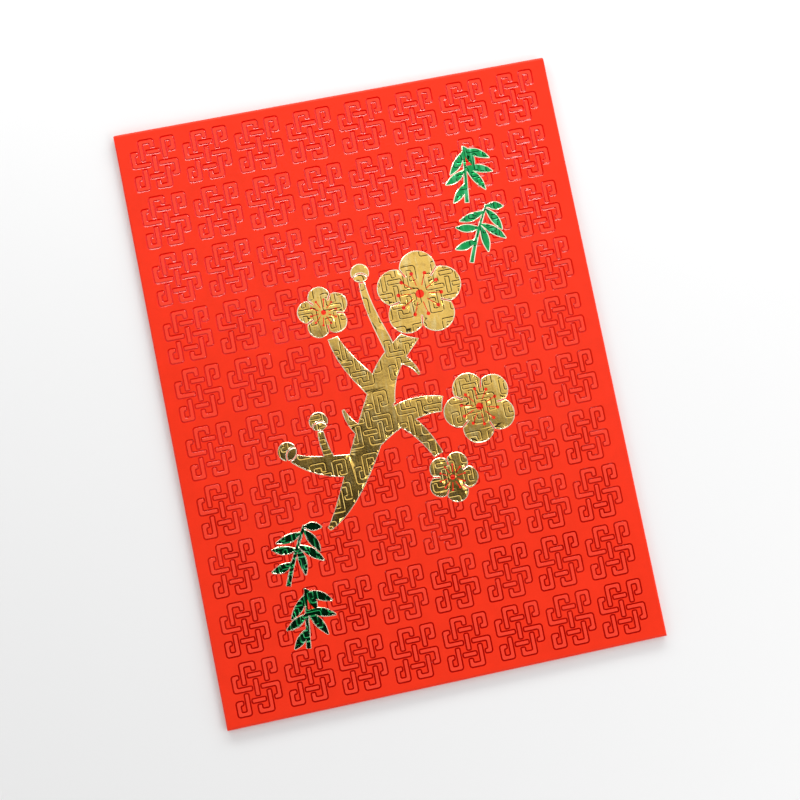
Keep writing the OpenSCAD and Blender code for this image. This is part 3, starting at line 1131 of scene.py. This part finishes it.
def foil_material(name, slot, colours, roughness, line_depth):
    """Hot-stamped metal foil: painted shade where the pattern presses through, painted highlight
    at its rim
    """
    plain, worn, thin, rim = ((*colour, 1) for colour in colours)
    material, tree = new_material(name, slot)
    if tree:
        skin = place_group(
            tree, foil_skin, colour=plain, worn=worn, thin=thin, wear=0.45, streaks=0.5,
            smoothest=roughness[0], roughest=roughness[1])
        line = place_group(tree, pressed_line, level=FACE_HIGH.z * MM, depth=line_depth)
        # Painted shade where the pattern's lines press through the foil
        amount = calculate(tree, "MULTIPLY", line["Mask"], LINE_SHADE)
        pressed = mix_colours(tree, amount, skin["Colour"], worn)
        # Painted highlight along the foil's rim
        at_rim = add_node(tree, "ShaderNodeAttribute", attribute_name="rim").outputs["Fac"]
        waves = bumped(tree, skin["Waves"], FOIL_WAVES)
        fill(tree, tree.nodes["Principled BSDF"], {
            "Base Color": mix_colours(tree, at_rim, pressed, rim),
            "Roughness": skin["Roughness"],
            "Normal": bumped(tree, skin["Height"], FOIL_TOOTH, over=waves),
            "Metallic": 1.0, "Coat Weight": 0.25, "Coat Roughness": 0.08,
        })
    return material


def gold_leaf(looks):
    colours = looks.gold, looks.gold_wear_and_line_shade, looks.gold_glint, looks.gold_rim_highlight
    return foil_material("gold_leaf", "gold_foil", colours, (0.10, 0.24), looks.line_depth)


def green_leaf(looks):
    colours = looks.green, looks.green_wear_and_line_shade, looks.green_glint, looks.green_rim_highlight
    return foil_material("green_leaf", "green_foil", colours, (0.08, 0.20), looks.line_depth)


# Studio

# Where the camera stands and what it looks at, in millimetres from the middle of the face
CAMERA_SPOT = Vector((-9.2, -12.4, 190.7))
CAMERA_AIM = Vector((1.43, -3.18, 0))
# How far the top of the picture leans from the packet's height, in degrees
CAMERA_LEAN = 11.52
CAMERA_LENS = 45
CAMERA_SENSOR = 36
CAMERA_CLIP = (0.01, 20)
# Where the two lamps stand, and their widths and heights, in metres
SOFTBOX_SPOT, SOFTBOX_SIZE = (0.06, 0.31, 0.13), (0.60, 0.08)
EDGE_LAMP_SPOT, EDGE_LAMP_SIZE = (0.21, -0.21, 0.21), (0.28, 0.03)
# The way in which the sky overhead brightens, where along it that starts and ends, and the
# heights between which the pale horizon gives way to it
SKY_WAY = (0.5, 0.85, 0)
SKY_SPREAD = (-0.04, 0.20)
HORIZON_BAND = (0.35, 0.8)
# Width of the floor, and the distances between which it fades into white, in metres
FLOOR_WIDTH = 3
FLOOR_FADE = (0.18, 0.5)
FLOOR_ROUGHNESS = 0.6
WHITE = (1, 1, 1, 1)


def place_camera():
    camera = add_object("camera", bpy.data.cameras.new("camera"))
    camera.data.lens = CAMERA_LENS
    camera.data.sensor_width = CAMERA_SENSOR
    camera.data.clip_start, camera.data.clip_end = CAMERA_CLIP
    back = (CAMERA_SPOT - CAMERA_AIM).normalized()
    lean = math.radians(CAMERA_LEAN)
    right = Vector((math.sin(lean), math.cos(lean), 0)).cross(back).normalized()
    turn = Matrix((right, back.cross(right), back)).transposed().to_4x4()
    spot = (CAMERA_SPOT + Vector((0, 0, FACE_HIGH.z))) * MM
    camera.matrix_world = Matrix.Translation(spot) @ turn
    bpy.context.scene.camera = camera


def add_softbox(name, spot, size, power):
    """A soft lamp that faces the packet and isn't seen itself"""
    lamp = bpy.data.lights.new(name, "AREA")
    lamp.shape = "RECTANGLE"
    lamp.size, lamp.size_y = size
    lamp.energy = power
    box = add_object(name, lamp)
    box.location = spot
    box.rotation_euler = (-Vector(spot)).to_track_quat("-Z", "Y").to_euler()
    box.visible_camera = False


def seen_by_camera(tree):
    return add_node(tree, "ShaderNodeLightPath").outputs["Is Camera Ray"]


def graded_sky(studio):
    """A pale horizon all round, and a sky that brightens towards the packet's upper right"""
    world = bpy.data.worlds.new("sky")
    world.use_nodes = True
    tree = world.node_tree
    way = add_node(tree, "ShaderNodeTexCoord").outputs["Generated"]
    along = add_node(
        tree, "ShaderNodeVectorMath", {0: way, 1: SKY_WAY}, operation="DOT_PRODUCT")
    overhead = ramp(
        tree, along.outputs["Value"], *SKY_SPREAD, studio.sky_dark, studio.sky_bright,
        kind="SMOOTHSTEP")
    height = add_node(tree, "ShaderNodeSeparateXYZ", {"Vector": way}).outputs["Z"]
    rising = ramp(tree, height, *HORIZON_BAND, kind="SMOOTHSTEP")
    strength = mix_numbers(tree, rising, studio.horizon, overhead)
    fill(tree, tree.nodes["Background"], {
        "Color": WHITE, "Strength": mix_numbers(tree, seen_by_camera(tree), strength, 1.0)})
    return world


def floor_paint(studio):
    """Pale paint round the packet, which runs into plain white in the distance"""
    material = bpy.data.materials.new("floor_paint")
    material.use_nodes = True
    tree = material.node_tree
    shader = tree.nodes["Principled BSDF"]
    fill(tree, shader, {"Base Color": (*studio.floor, 1), "Roughness": FLOOR_ROUGHNESS})
    distance = add_node(
        tree, "ShaderNodeVectorMath", {0: object_place(tree)}, operation="LENGTH")
    far = ramp(tree, distance.outputs["Value"], *FLOOR_FADE, kind="SMOOTHSTEP")
    white = add_node(tree, "ShaderNodeEmission", {"Color": WHITE, "Strength": 1.0})
    mixed = add_node(tree, "ShaderNodeMixShader", {
        0: calculate(tree, "MULTIPLY", far, seen_by_camera(tree)),
        1: shader.outputs["BSDF"], 2: white.outputs["Emission"]})
    tree.links.new(mixed.outputs["Shader"], tree.nodes["Material Output"].inputs["Surface"])
    return material


class PACKET_OT_studio(bpy.types.Operator):
    """Sets up the pale floor, the soft light and the camera"""

    bl_idname = "packet.studio"
    bl_label = "Studio"

    def execute(self, context):
        studio = context.scene.packet_studio
        deselect_all()
        bpy.ops.mesh.primitive_plane_add(size=FLOOR_WIDTH)
        floor = name_piece("floor")
        floor.data.materials.append(floor_paint(studio))
        add_softbox("softbox", SOFTBOX_SPOT, SOFTBOX_SIZE, studio.softbox)
        add_softbox("edge_lamp", EDGE_LAMP_SPOT, EDGE_LAMP_SIZE, studio.edge_lamp)
        context.scene.world = graded_sky(studio)
        context.scene.view_settings.view_transform = "Standard"
        place_camera()
        return {"FINISHED"}


class PACKET_PT_sidebar(bpy.types.Panel):
    """Lists the steps of the model, in order"""

    bl_label = "Red packet"
    bl_idname = "PACKET_PT_sidebar"
    bl_space_type = "VIEW_3D"
    bl_region_type = "UI"
    bl_category = "Red Packet"

    def draw(self, context):
        for step in STEPS:
            self.layout.operator(step.bl_idname)


SETTINGS = {
    "packet_pattern": PressedPattern,
    "packet_paper": PaperLooks,
    "packet_foil": FoilLooks,
    "packet_studio": StudioSettings,
}
STEPS = (
    PACKET_OT_studio,
    PACKET_OT_pressed_face,
    PACKET_OT_folds,
    PACKET_OT_flap_crease,
    PACKET_OT_back,
    PACKET_OT_gold_foil,
    PACKET_OT_green_foil,
)


def register():
    for group in (*SETTINGS.values(), *STEPS, PACKET_PT_sidebar):
        bpy.utils.register_class(group)
    for name, group in SETTINGS.items():
        setattr(bpy.types.Scene, name, PointerProperty(type=group))


def unregister():
    for name in SETTINGS:
        delattr(bpy.types.Scene, name)
    for group in (PACKET_PT_sidebar, *reversed(STEPS), *SETTINGS.values()):
        bpy.utils.unregister_class(group)


def main():
    register()
    bpy.ops.packet.studio()
    bpy.ops.packet.pressed_face()
    bpy.ops.packet.folds()
    bpy.ops.packet.flap_crease()
    bpy.ops.packet.back()
    bpy.ops.packet.gold_foil()
    bpy.ops.packet.green_foil()


if __name__ == "__main__":
    main()
